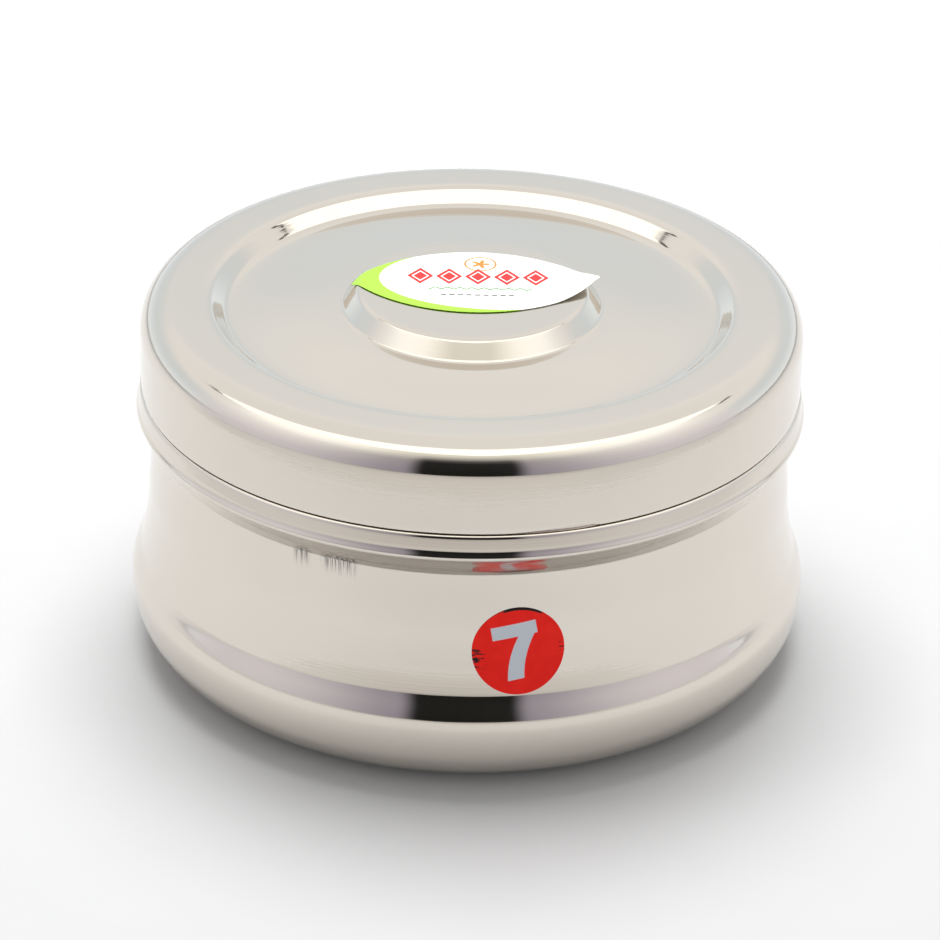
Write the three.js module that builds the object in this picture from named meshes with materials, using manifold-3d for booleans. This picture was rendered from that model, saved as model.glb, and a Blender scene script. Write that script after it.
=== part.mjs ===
// Masala dabba: a round stainless steel spice box.
// A waisted, spun box holds seven loose cups. A dished inner lid with a knob rests on the
// crease of the box wall, a spoon lies on it, and a deep outer lid slips over the neck.
// Millimetres, +Z up. The origin is the centre of the face that the box stands on.

import * as THREE from 'three';
import { mergeVertices } from 'three/addons/utils/BufferGeometryUtils.js';
import Module from 'manifold-3d';

const wasm = await Module();
wasm.setup();

// Sheet metal, paper and fits
const SHEET = 0.6;
const CUP_SHEET = 0.5;
const PAPER = 0.2;
const CLEARANCE = 0.3;

// Box: radius and height of each feature of its outer wall, from the base up
const BASE_FLAT_RADIUS = 65;
const BELLY_RADIUS = 89;
const BELLY_HEIGHT = 19.4;
const SLOPE_RADIUS = 86.1;
const SLOPE_HEIGHT = 30.4;
const WAIST_RADIUS = 84.2;
const WAIST_HEIGHT = 44;
const CREASE_RADIUS = 83.4;
const CREASE_HEIGHT = 61.2;
const SWAGE_RADIUS = 87.2;
const SWAGE_HEIGHT = 68;
const COLLAR_FOOT_RADIUS = 86.65;
const COLLAR_FOOT_HEIGHT = 71;
const COLLAR_RADIUS = 86.35;
const LEDGE_ROUND = 0.9;
const LEDGE_HEIGHT = 74.5;
const MOUTH_HEIGHT = 88.5;

// Outer lid
const LID_RADIUS = 86;
const LID_EDGE_HEIGHT = LEDGE_HEIGHT + CLEARANCE;
const LID_TOP_HEIGHT = 98.1;
const SHOULDER_ROUND = 8;
const RECESS_RADIUS = 71;
const RECESS_WALL_TOP_RADIUS = 67.6;
const RECESS_WALL_FOOT_RADIUS = 64.2;
const RECESS_FLOOR_RADIUS = 62;
const RECESS_DEPTH = 4.1;
const BOSS_FOOT_DEPTH = 2.7;
const BOSS_FOOT_RADIUS = 34.3;
const BOSS_RADIUS = 28.8;
const BOSS_PROUD = 2.1;

// Cups: one in the middle and six round it
const CUP_RIM_RADIUS = 26.2;
const CUP_WALL_DRAFT = 1;
const CUP_FOOT_ROUND = 7;
const CUP_HEIGHT = 60;
const CUP_FLOOR_HEIGHT = 2.2;
const CUP_PITCH = 54.2;
const RING_CUPS = 6;

// Inner lid, its knob and the screw that holds the knob
const INNER_LID_RADIUS = 83.8;
const INNER_LID_REST = 64.5;
const INNER_LID_FLANGE = 6;
const INNER_LID_DISH = 2;
const KNOB_RADIUS = 10;
const KNOB_STEM_RADIUS = 5;
const KNOB_HEIGHT = 13;
const SCREW_RADIUS = 2;
const SCREW_REACH = 7;
const SCREW_HEAD_RADIUS = 4;
const SCREW_HEAD_HEIGHT = 1.2;

// Spoon, lying along X beside the knob
const SPOON_OFFSET = 40;
const SPOON_BOWL_X = -32;
const SPOON_BOWL_LENGTH = 30;
const SPOON_BOWL_WIDTH = 23;
const SPOON_BOWL_DEPTH = 6.5;
const SPOON_HANDLE_END = 48;
const SPOON_HANDLE_WIDTH = 6;
const SPOON_SHEET = 1;

// Paper stickers: a round one on the wall and a leaf-shaped one on the lid
const WALL_STICKER_RADIUS = 11.7;
const WALL_STICKER_HEIGHT = 41;
const WALL_STICKER_BEARING = THREE.MathUtils.degToRad(-81);
const LABEL_HALF_LENGTH = 32.2;
const LABEL_HALF_WIDTH = 17.8;
const LABEL_ASIDE = 0.6;
const LABEL_BACK = 3.4;

// Facets
const SHELL_SEGMENTS = 40;
const CUP_SEGMENTS = 20;
const SMALL_SEGMENTS = 16;
const CURVE_STEPS = 3;
const CUP_CURVE_STEPS = 2;

const boxSteel = new THREE.MeshStandardMaterial({ color: 0xd6d2cd, roughness: 0.1, metalness: 1 });
const cupSteel = new THREE.MeshStandardMaterial({ color: 0xcfcdca, roughness: 0.18, metalness: 1 });
const trimSteel = new THREE.MeshStandardMaterial({ color: 0xc8c6c4, roughness: 0.25, metalness: 1 });
const redPaper = new THREE.MeshStandardMaterial({ color: 0xe2231a, roughness: 0.45, metalness: 0 });
const whitePaper = new THREE.MeshStandardMaterial({ color: 0xf6f6f2, roughness: 0.4, metalness: 0 });

// The line beside a profile, moved to the left of its direction, with mitred corners
function offsetLine(points, distance) {
  return points.map((point, i) => {
    const before = i > 0 ? normalOf(points[i - 1], point) : normalOf(point, points[i + 1]);
    const after = i < points.length - 1 ? normalOf(point, points[i + 1]) : before;
    const mitre = before.clone().add(after).divideScalar(1 + before.dot(after));
    return point.clone().addScaledVector(mitre, distance);
  });
}

function normalOf(from, to) {
  return new THREE.Vector2(from.y - to.y, to.x - from.x).normalize();
}

function revolve(profile, segments) {
  return new THREE.LatheGeometry(profile, segments).rotateX(Math.PI / 2);
}

// A pressed sheet that opens upwards: its outer face runs from the middle up to the rim
function vesselGeometry(face, gauge, segments) {
  return revolve([...face, ...offsetLine(face, gauge).reverse()], segments);
}

// A pressed sheet that opens downwards: its outer face runs from the middle down to the edge
function coverGeometry(face, gauge, segments) {
  return revolve([...offsetLine(face, -gauge), ...face.toReversed()], segments);
}

// Solids for cuts and joins
function toSolid(geometry) {
  const bare = geometry.clone();
  bare.deleteAttribute('normal');
  bare.deleteAttribute('uv');
  const merged = mergeVertices(bare, 1e-4);
  return new wasm.Manifold(new wasm.Mesh({
    numProp: 3,
    vertProperties: merged.attributes.position.array,
    triVerts: merged.index.array,
  }));
}

function toGeometry(solid) {
  const mesh = solid.getMesh();
  const geometry = new THREE.BufferGeometry();
  geometry.setAttribute('position', new THREE.BufferAttribute(mesh.vertProperties, 3));
  geometry.setIndex(new THREE.BufferAttribute(mesh.triVerts, 1));
  geometry.computeVertexNormals();
  return geometry;
}

function piece(name, geometry, material) {
  const mesh = new THREE.Mesh(geometry, material);
  mesh.name = name;
  return mesh;
}

// Box: flat base, soft belly, slim waist, crease, swage, collar, ledge and plain neck.
// In every outline here, the bare numbers are control points, which only steer a curve.
function boxWall() {
  const wall = new THREE.Path();
  wall.moveTo(0, 0);
  wall.lineTo(BASE_FLAT_RADIUS, 0);
  wall.bezierCurveTo(82.5, 0, BELLY_RADIUS, 7.3, BELLY_RADIUS, BELLY_HEIGHT);
  wall.bezierCurveTo(BELLY_RADIUS, 23.8, 87, 26.6, SLOPE_RADIUS, SLOPE_HEIGHT);
  wall.bezierCurveTo(85.3, 33.8, 84.4, 38.5, WAIST_RADIUS, WAIST_HEIGHT);
  wall.bezierCurveTo(WAIST_RADIUS, 50, CREASE_RADIUS, 55, CREASE_RADIUS, CREASE_HEIGHT);
  wall.bezierCurveTo(CREASE_RADIUS, 63.9, SWAGE_RADIUS, 65, SWAGE_RADIUS, SWAGE_HEIGHT);
  wall.bezierCurveTo(SWAGE_RADIUS, 69, 86.75, 69.9, COLLAR_FOOT_RADIUS, COLLAR_FOOT_HEIGHT);
  return wall;
}

function boxOutline() {
  const outline = boxWall();
  const neckRadius = LID_RADIUS - SHEET - CLEARANCE;
  const roundCentre = COLLAR_RADIUS - LEDGE_ROUND;
  outline.absarc(roundCentre, LEDGE_HEIGHT - LEDGE_ROUND, LEDGE_ROUND, 0, Math.PI / 2);
  outline.lineTo(neckRadius, LEDGE_HEIGHT);
  outline.lineTo(neckRadius, MOUTH_HEIGHT);
  return withoutRepeats(outline.getPoints(CURVE_STEPS));
}

// Neighbouring points of a path that fall together are kept once
function withoutRepeats(points) {
  return points.filter((point, i) => i === 0 || point.distanceTo(points[i - 1]) > 1e-3);
}

function boxBody() {
  return piece('box_body', vesselGeometry(boxOutline(), SHEET, SHELL_SEGMENTS), boxSteel);
}

// Outer lid: raised boss, domed recess round it, flat rim, rounded shoulder, straight skirt
const BOSS_TOP = LID_TOP_HEIGHT + BOSS_PROUD;

function lidOutline() {
  const floor = LID_TOP_HEIGHT - RECESS_DEPTH;
  const bossFoot = LID_TOP_HEIGHT - BOSS_FOOT_DEPTH;
  const outline = new THREE.Path();
  outline.moveTo(0, BOSS_TOP);
  outline.lineTo(BOSS_RADIUS, BOSS_TOP);
  outline.quadraticCurveTo(BOSS_RADIUS + 1, BOSS_TOP, BOSS_RADIUS + 1.5, BOSS_TOP - 0.7);
  outline.lineTo(BOSS_FOOT_RADIUS - 1.3, bossFoot + 0.8);
  outline.quadraticCurveTo(BOSS_FOOT_RADIUS - 0.7, bossFoot, BOSS_FOOT_RADIUS, bossFoot);
  outline.lineTo(RECESS_FLOOR_RADIUS, floor);
  outline.quadraticCurveTo(63.4, floor, RECESS_WALL_FOOT_RADIUS, floor + 0.7);
  outline.lineTo(RECESS_WALL_TOP_RADIUS, LID_TOP_HEIGHT - 0.6);
  outline.quadraticCurveTo(68.4, LID_TOP_HEIGHT, RECESS_RADIUS, LID_TOP_HEIGHT);
  outline.lineTo(LID_RADIUS - SHOULDER_ROUND, LID_TOP_HEIGHT);
  outline.absarc(LID_RADIUS - SHOULDER_ROUND, LID_TOP_HEIGHT - SHOULDER_ROUND, SHOULDER_ROUND,
    Math.PI / 2, 0, true);
  outline.lineTo(LID_RADIUS, LID_EDGE_HEIGHT);
  return withoutRepeats(outline.getPoints(CURVE_STEPS));
}

function outerLid() {
  return piece('outer_lid', coverGeometry(lidOutline(), SHEET, SHELL_SEGMENTS), boxSteel);
}

// Cup: flat foot, round corner, wall that widens slightly to the rim
function cupOutline() {
  const footRadius = CUP_RIM_RADIUS - CUP_WALL_DRAFT;
  const outline = new THREE.Path();
  outline.moveTo(0, 0);
  outline.lineTo(footRadius - CUP_FOOT_ROUND, 0);
  outline.absarc(footRadius - CUP_FOOT_ROUND, CUP_FOOT_ROUND, CUP_FOOT_ROUND, -Math.PI / 2, 0);
  outline.lineTo(CUP_RIM_RADIUS, CUP_HEIGHT);
  return withoutRepeats(outline.getPoints(CUP_CURVE_STEPS));
}

function cup(name, bearing, distance) {
  const mesh = piece(name, vesselGeometry(cupOutline(), CUP_SHEET, CUP_SEGMENTS), cupSteel);
  mesh.position.set(distance * Math.cos(bearing), distance * Math.sin(bearing), CUP_FLOOR_HEIGHT);
  return mesh;
}

function cupSet() {
  const set = new THREE.Group();
  set.add(cup('cup_center', 0, 0));
  for (let i = 1; i <= RING_CUPS; i += 1) {
    set.add(cup(`cup_${i}`, (i - 1) * 2 * Math.PI / RING_CUPS, CUP_PITCH));
  }
  return set;
}

// Inner lid: a plate with a narrow flange, dished panel and a hole for the knob's screw
function innerLid() {
  const flangeInside = INNER_LID_RADIUS - INNER_LID_FLANGE;
  const top = INNER_LID_REST + SHEET;
  const face = [
    new THREE.Vector2(SCREW_RADIUS + CLEARANCE, top - INNER_LID_DISH),
    new THREE.Vector2(flangeInside - 3, top - INNER_LID_DISH),
    new THREE.Vector2(flangeInside, top),
    new THREE.Vector2(INNER_LID_RADIUS, top),
  ];
  const profile = [...offsetLine(face, -SHEET), ...face.toReversed()];
  profile.push(profile[0].clone());
  return piece('inner_lid', revolve(profile, SHELL_SEGMENTS), cupSteel);
}

const PANEL_TOP = INNER_LID_REST + SHEET - INNER_LID_DISH;

// Knob: waisted stem with a domed top, and a blind hole for the screw
function innerLidKnob() {
  const foot = PANEL_TOP + CLEARANCE;
  const boreRadius = SCREW_RADIUS + CLEARANCE;
  const boreTop = foot + SCREW_REACH;
  const brow = foot + KNOB_HEIGHT - 4;
  const top = foot + KNOB_HEIGHT;
  const outline = new THREE.Path();
  outline.moveTo(0, boreTop);
  outline.lineTo(boreRadius, boreTop);
  outline.lineTo(boreRadius, foot);
  outline.lineTo(KNOB_STEM_RADIUS + 1.5, foot);
  outline.quadraticCurveTo(KNOB_STEM_RADIUS - 1, foot + 4, KNOB_RADIUS - 1, brow - 1);
  outline.quadraticCurveTo(KNOB_RADIUS, brow, KNOB_RADIUS - 1, brow + 1);
  outline.quadraticCurveTo(KNOB_STEM_RADIUS, top, 0, top);
  const profile = withoutRepeats(outline.getPoints(CURVE_STEPS));
  return piece('inner_lid_knob', revolve(profile, SMALL_SEGMENTS), trimSteel);
}

// Screw: flat head under the inner lid, shank up into the knob
function knobScrew() {
  const headTop = PANEL_TOP - SHEET - CLEARANCE;
  const headBottom = headTop - SCREW_HEAD_HEIGHT;
  const shankTop = PANEL_TOP + SCREW_REACH - CLEARANCE;
  const profile = [
    new THREE.Vector2(0, headBottom),
    new THREE.Vector2(SCREW_HEAD_RADIUS - 0.5, headBottom),
    new THREE.Vector2(SCREW_HEAD_RADIUS, headBottom + 0.5),
    new THREE.Vector2(SCREW_HEAD_RADIUS, headTop),
    new THREE.Vector2(SCREW_RADIUS, headTop),
    new THREE.Vector2(SCREW_RADIUS, shankTop),
    new THREE.Vector2(0, shankTop),
  ];
  return piece('knob_screw', revolve(profile, SMALL_SEGMENTS), trimSteel);
}

// Spoon: half of a hollow ellipsoid for the bowl, joined to a flat strip that bends down to the end
function spoonBowl(shrink) {
  const bowl = new THREE.SphereGeometry(1, SMALL_SEGMENTS, SMALL_SEGMENTS / 2);
  bowl.scale(
    SPOON_BOWL_LENGTH / 2 - shrink,
    SPOON_BOWL_WIDTH / 2 - shrink,
    SPOON_BOWL_DEPTH - shrink,
  );
  return toSolid(bowl);
}

function spoonHandle() {
  const neck = SPOON_BOWL_LENGTH / 2 - 1;
  const reach = SPOON_HANDLE_END - SPOON_BOWL_X;
  const middle = (neck + reach) / 2;
  const strip = new THREE.Shape();
  strip.moveTo(neck, -SPOON_SHEET);
  strip.quadraticCurveTo(middle, 3, reach, SPOON_SHEET - SPOON_BOWL_DEPTH);
  strip.lineTo(reach, 2 * SPOON_SHEET - SPOON_BOWL_DEPTH);
  strip.quadraticCurveTo(middle, 3 + SPOON_SHEET, neck, 0);
  const sideways = { depth: SPOON_HANDLE_WIDTH, bevelEnabled: false, curveSegments: 8 };
  const handle = new THREE.ExtrudeGeometry(strip, sideways);
  handle.rotateX(Math.PI / 2);
  handle.translate(0, SPOON_HANDLE_WIDTH / 2, 0);
  return toSolid(handle);
}

function spoon() {
  const above = new THREE.BoxGeometry(
    2 * SPOON_BOWL_LENGTH, 2 * SPOON_BOWL_WIDTH, 2 * SPOON_BOWL_DEPTH,
  );
  above.translate(0, 0, SPOON_BOWL_DEPTH);
  const bowl = spoonBowl(0).subtract(spoonBowl(SPOON_SHEET)).subtract(toSolid(above));
  const mesh = piece('spoon', toGeometry(bowl.add(spoonHandle())), trimSteel);
  mesh.position.set(SPOON_BOWL_X, SPOON_OFFSET, PANEL_TOP + CLEARANCE + SPOON_BOWL_DEPTH);
  return mesh;
}

// Round sticker: the disc that a cylinder cuts from a thin skin lying just off the wall
function sizeSticker() {
  const wall = withoutRepeats(boxWall().getPoints(CURVE_STEPS));
  const reach = WALL_STICKER_RADIUS + 8;
  const near = wall.filter((point) => Math.abs(point.y - WALL_STICKER_HEIGHT) < reach);
  const back = offsetLine(near, -CLEARANCE);
  const front = offsetLine(near, -CLEARANCE - PAPER);
  const skin = revolve([...front, ...back.reverse(), front[0].clone()], SHELL_SEGMENTS);
  const cutter = new THREE.CylinderGeometry(
    WALL_STICKER_RADIUS, WALL_STICKER_RADIUS, BELLY_RADIUS, CUP_SEGMENTS,
  );
  cutter.rotateZ(-Math.PI / 2);
  cutter.translate(BELLY_RADIUS, 0, WALL_STICKER_HEIGHT);
  cutter.rotateZ(WALL_STICKER_BEARING);
  const disc = toSolid(skin).intersect(toSolid(cutter));
  return piece('size_sticker', toGeometry(disc), redPaper);
}

// Leaf-shaped label: two arcs that meet in a point at each end, on top of the lid's boss
function lidLabel() {
  const arcRadius = (LABEL_HALF_LENGTH ** 2 + LABEL_HALF_WIDTH ** 2) / (2 * LABEL_HALF_WIDTH);
  const halfAngle = Math.asin(LABEL_HALF_LENGTH / arcRadius);
  const centre = arcRadius - LABEL_HALF_WIDTH;
  const leaf = new THREE.Shape();
  leaf.absarc(0, -centre, arcRadius, Math.PI / 2 - halfAngle, Math.PI / 2 + halfAngle);
  leaf.absarc(0, centre, arcRadius, -Math.PI / 2 - halfAngle, -Math.PI / 2 + halfAngle);
  const sheet = { depth: PAPER, bevelEnabled: false, curveSegments: SMALL_SEGMENTS };
  const mesh = piece('lid_label', new THREE.ExtrudeGeometry(leaf, sheet), whitePaper);
  mesh.position.set(LABEL_ASIDE, LABEL_BACK, BOSS_TOP + CLEARANCE);
  return mesh;
}

const dabba = new THREE.Group();
dabba.add(
  boxBody(), sizeSticker(), cupSet(),
  innerLid(), innerLidKnob(), knobScrew(), spoon(),
  outerLid(), lidLabel(),
);

export default dabba;
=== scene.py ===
"""Masala dabba: a waisted stainless steel spice box with two lids, seven cups and a spoon.

The steel pieces are spun and pressed sheet, so each is a fine half section turned about the
box's axis. Lengths in the section drawings are millimetres, and meshes are in metres.
"""

import math

import bmesh
import bpy
from mathutils import Matrix, Vector, noise


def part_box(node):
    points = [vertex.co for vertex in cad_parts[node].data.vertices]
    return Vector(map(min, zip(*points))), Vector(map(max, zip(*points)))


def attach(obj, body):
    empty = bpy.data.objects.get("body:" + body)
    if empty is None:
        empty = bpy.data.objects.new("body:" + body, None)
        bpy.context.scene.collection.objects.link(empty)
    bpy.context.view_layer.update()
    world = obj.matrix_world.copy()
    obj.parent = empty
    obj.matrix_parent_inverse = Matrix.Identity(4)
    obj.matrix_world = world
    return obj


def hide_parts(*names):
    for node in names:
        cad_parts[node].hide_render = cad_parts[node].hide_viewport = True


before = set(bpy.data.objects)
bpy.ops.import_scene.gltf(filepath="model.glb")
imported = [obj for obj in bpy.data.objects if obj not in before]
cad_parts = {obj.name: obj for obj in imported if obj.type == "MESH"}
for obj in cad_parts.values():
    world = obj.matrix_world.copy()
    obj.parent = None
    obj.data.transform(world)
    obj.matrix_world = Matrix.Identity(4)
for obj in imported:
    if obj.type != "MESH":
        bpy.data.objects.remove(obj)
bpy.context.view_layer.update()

MM = 0.001


def size_of(node):
    """Half width, lowest and highest point of a node centred on the axis, in millimetres."""
    low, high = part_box(node)
    return high.x / MM, low.z / MM, high.z / MM


BELLY_RADIUS, _, MOUTH_HEIGHT = size_of("box_body")
LID_RADIUS, LID_EDGE, BOSS_TOP = size_of("outer_lid")
INNER_LID_RADIUS, _, FLANGE_TOP = size_of("inner_lid")
_, KNOB_FOOT, KNOB_TOP = size_of("inner_lid_knob")
SCREW_HEAD_RADIUS, SCREW_LOW, SCREW_HIGH = size_of("knob_screw")
CUP_RIM_RADIUS, _, _ = size_of("cup_center")

SHEET = 0.6
CUP_SHEET = 0.5
LID_PLAY = 0.3
LEDGE = LID_EDGE - LID_PLAY
NECK_RADIUS = LID_RADIUS - SHEET - LID_PLAY
BOSS_RISE = 2.1
LID_TOP = BOSS_TOP - BOSS_RISE
SHOULDER = 8
COLLAR_RADIUS = 86.35
LEDGE_ROUND = 0.9
CUP_NAMES = ["cup_center"] + [f"cup_{i}" for i in range(1, 7)]

FRONT_FACING = -math.pi / 2
SHARP_ANGLE = math.radians(42)


# ---------------------------------------------------------------- section drawings

# How far a cubic curve's handles reach towards the corner to make a quarter of an ellipse
QUARTER_TURN = 0.5523


class Section:
    """A line in the plane of radius and height, made of straight and round stretches."""

    def __init__(self, radius, height):
        self.points = [(radius, height)]

    def line(self, radius, height, steps=1):
        r0, z0 = self.points[-1]
        for i in range(1, steps + 1):
            t = i / steps
            self.points.append((r0 + (radius - r0) * t, z0 + (height - z0) * t))
        return self

    def curve(self, lead, approach, end, steps=16):
        """A cubic curve that leaves towards lead and arrives from approach."""
        start = self.points[-1]
        for i in range(1, steps + 1):
            t = i / steps
            weights = ((1 - t) ** 3, 3 * t * (1 - t) ** 2, 3 * t * t * (1 - t), t ** 3)
            corners = (start, lead, approach, end)
            self.points.append(tuple(
                sum(w * corner[axis] for w, corner in zip(weights, corners)) for axis in (0, 1)
            ))
        return self

    def bend(self, corner, end, steps=8):
        """Rounds a corner, like a quarter of an ellipse."""
        start = self.points[-1]
        lead = tuple(s + (c - s) * QUARTER_TURN for s, c in zip(start, corner))
        approach = tuple(e + (c - e) * QUARTER_TURN for e, c in zip(end, corner))
        return self.curve(lead, approach, end, steps)


def left_of(start, end):
    """The direction to the left of the way from start to end."""
    along = Vector((end[0] - start[0], end[1] - start[1])).normalized()
    return Vector((-along.y, along.x))


def beside(points, distance):
    """The line at a constant distance to the left of points, with mitred corners."""
    moved = []
    for i, point in enumerate(points):
        after = left_of(point, points[i + 1]) if i + 1 < len(points) else None
        before = left_of(points[i - 1], point) if i else after
        after = after or before
        mitre = (before + after) / (1 + before.dot(after))
        moved.append((point[0] + mitre.x * distance, point[1] + mitre.y * distance))
    return moved


def sheet_profile(face, gauge):
    """The closed section of a sheet: its face, a round free edge, and its back."""
    back = beside(face, gauge)
    edge = Vector(face[-1])
    middle = (edge + Vector(back[-1])) / 2
    spoke = edge - middle
    outward = (Vector(face[-1]) - Vector(face[-2])).normalized() * spoke.length
    lip = []
    for degrees in (30, 60, 90, 120, 150):
        angle = math.radians(degrees)
        lip.append(tuple(middle + spoke * math.cos(angle) + outward * math.sin(angle)))
    return face + lip + back[::-1]


# ---------------------------------------------------------------- meshes

ON_THE_AXIS = 1e-6


def new_object(name, vertices, faces, material):
    """A smooth-shaded mesh object whose faces point outwards."""
    mesh = bpy.data.meshes.new(name)
    mesh.from_pydata(vertices, [], faces)
    made = bmesh.new()
    made.from_mesh(mesh)
    bmesh.ops.recalc_face_normals(made, faces=made.faces)
    made.to_mesh(mesh)
    made.free()
    mesh.polygons.foreach_set("use_smooth", [True] * len(mesh.polygons))
    mesh.set_sharp_from_angle(angle=SHARP_ANGLE)
    mesh.materials.append(material)
    obj = bpy.data.objects.new(name, mesh)
    bpy.context.scene.collection.objects.link(obj)
    return obj


def revolve(name, profile, material, segments, loop=False, shape=None):
    """Turns a profile about the Z axis. It starts and ends on the axis, or loops on itself."""
    vertices, rings = [], []
    for radius, height in profile:
        if radius < ON_THE_AXIS:
            rings.append([len(vertices)] * segments)
            vertices.append((0, 0, height * MM))
            continue
        rings.append(list(range(len(vertices), len(vertices) + segments)))
        for i in range(segments):
            angle = 2 * math.pi * i / segments
            place = (radius * math.cos(angle) * MM, radius * math.sin(angle) * MM, height * MM)
            vertices.append(place)
    if shape:
        vertices = [shape(Vector(v)) for v in vertices]
    pairs = list(zip(rings, rings[1:]))
    if loop:
        pairs.append((rings[-1], rings[0]))
    faces = []
    for low, high in pairs:
        for i in range(segments):
            j = (i + 1) % segments
            corners = dict.fromkeys((low[i], low[j], high[j], high[i]))
            if len(corners) > 2:
                faces.append(tuple(corners))
    return new_object(name, vertices, faces, material)


def fit(piece, body, slot, *nodes):
    """Hangs a finished piece on its body, in place of the CAD nodes it stands for."""
    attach(piece, body)
    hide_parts(*nodes)
    return piece


# ---------------------------------------------------------------- materials

class Graph:
    """A material's node tree, with short calls for the nodes used here."""

    def __init__(self, name):
        self.material = bpy.data.materials.new(name)
        self.material.use_nodes = True
        self.tree = self.material.node_tree
        self.surface = self.tree.nodes["Principled BSDF"]

    def node(self, kind, inputs=(), **settings):
        made = self.tree.nodes.new(kind)
        for key, value in settings.items():
            setattr(made, key, value)
        for socket, value in dict(inputs).items():
            self.plug(made.inputs[socket], value)
        return made

    def plug(self, socket, value):
        """Links a socket to another node's output, or sets it to a constant."""
        if isinstance(value, bpy.types.NodeSocket):
            self.tree.links.new(value, socket)
        else:
            socket.default_value = value

    def math(self, operation, *values, clamp=False):
        made = self.node("ShaderNodeMath", dict(enumerate(values)), operation=operation)
        made.use_clamp = clamp
        return made.outputs[0]

    def add(self, first, second):
        return self.math("ADD", first, second)

    def times(self, first, second):
        return self.math("MULTIPLY", first, second)

    def length(self, across, along):
        """The length of a line from the middle, from its two sides."""
        return self.math("SQRT", self.add(self.times(across, across), self.times(along, along)))

    def size(self, value):
        return self.math("ABSOLUTE", value)

    def place(self):
        """Position on the object, as X, Y and Z in metres."""
        where = self.node("ShaderNodeTexCoord").outputs["Object"]
        split = self.node("ShaderNodeSeparateXYZ", {"Vector": where})
        return where, split.outputs[0], split.outputs[1], split.outputs[2]

    def noise(self, vector, scale, detail=2.0, roughness=0.5, distortion=0.0):
        made = self.node("ShaderNodeTexNoise", {
            "Vector": vector, "Scale": scale, "Detail": detail,
            "Roughness": roughness, "Distortion": distortion,
        })
        return made.outputs[0]

    def between(self, value, low, high, out_low=0.0, out_high=1.0):
        """Maps low..high to out_low..out_high smoothly, and holds the ends."""
        made = self.node("ShaderNodeMapRange", {
            "Value": value, "From Min": low, "From Max": high,
            "To Min": out_low, "To Max": out_high,
        }, interpolation_type="SMOOTHSTEP")
        return made.outputs[0]

    def inside(self, value, low, high, soft):
        """One from low to high, and zero outside, over a soft edge."""
        rising = self.between(value, low - soft, low + soft)
        falling = self.between(value, high - soft, high + soft, 1.0, 0.0)
        return self.times(rising, falling)

    def mix(self, share, first, second):
        """A colour between first and second."""
        made = self.node("ShaderNodeMix", data_type="RGBA")
        self.plug(made.inputs[0], share)
        self.plug(made.inputs[6], first)
        self.plug(made.inputs[7], second)
        return made.outputs[2]

    def bump(self, height, distance, strength=1.0, after=None):
        made = self.node("ShaderNodeBump", {
            "Height": height, "Distance": distance, "Strength": strength,
        })
        if after is not None:
            self.plug(made.inputs["Normal"], after)
        return made.outputs[0]

    def set(self, **values):
        """Sets the surface's own sockets, and gives the finished material."""
        for socket, value in values.items():
            self.plug(self.surface.inputs[socket.replace("_", " ")], value)
        return self.material

    def shine(self, light):
        """Shows a light shader in place of the surface."""
        self.tree.links.new(light.outputs[0], self.tree.nodes["Material Output"].inputs[0])
        return self.material


# Turning lines to a metre across the lines, and their unevenness along them
TURNING_LINES = 1400.0
TURNING_DRIFT = 1.5
# How much duller a hairline, a turning line and a crease streak are than the polish round them
HAIRLINE_DULL, TURNING_DULL, STREAK_DULL = 0.05, 0.03, 0.25
# The grey that the crease streaks mix into the steel's colour
STREAK_GREY = (0.16, 0.155, 0.15, 1)


def spun_steel(name, tint, polish, lines, smudges, streaked=None):
    """Polished stainless steel: turning lines about the axis, soft waves, smudges, hairlines."""
    graph = Graph(name)
    where, x, y, z = graph.place()
    radius = graph.length(x, y)
    bearing = graph.math("ARCTAN2", y, x)
    turning = graph.node("ShaderNodeCombineXYZ", {
        "X": graph.times(radius, TURNING_LINES),
        "Y": graph.times(bearing, TURNING_DRIFT),
        "Z": graph.times(z, TURNING_LINES),
    }).outputs[0]
    rings = graph.noise(turning, 1.0, detail=3.0, roughness=0.6)
    waves = graph.noise(where, 38.0, detail=1.0)
    handling = graph.noise(where, 24.0, detail=6.0, roughness=0.62, distortion=0.5)
    smudge = graph.between(handling, 0.5, 0.72)
    hair = graph.node("ShaderNodeMapping", {
        "Vector": where, "Rotation": (0.3, 0.5, 0.9), "Scale": (2600.0, 55.0, 900.0),
    }).outputs[0]
    scratch = graph.between(graph.noise(hair, 1.0, detail=1.0), 0.72, 0.78)
    roughness = graph.add(polish, graph.times(smudge, smudges))
    roughness = graph.add(roughness, graph.times(scratch, HAIRLINE_DULL))
    roughness = graph.add(roughness, graph.times(rings, TURNING_DULL))
    cloud = graph.between(graph.noise(where, 9.0, detail=3.0), 0.3, 0.7)
    dull = tuple(c * 0.96 for c in tint)
    colour = graph.mix(cloud, (*dull, 1), (*tint, 1))
    if streaked:
        mark = streaked(graph, where, x, y, z)
        colour = graph.mix(mark, colour, STREAK_GREY)
        roughness = graph.add(roughness, graph.times(mark, STREAK_DULL))
    relief = graph.bump(waves, 0.0004, 0.12)
    relief = graph.bump(rings, 0.00003, lines, after=relief)
    return graph.set(Base_Color=colour, Metallic=1.0, Roughness=roughness, Normal=relief)


# How far the crease streaks go towards that grey
STREAK_DARKNESS = 0.85


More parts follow.
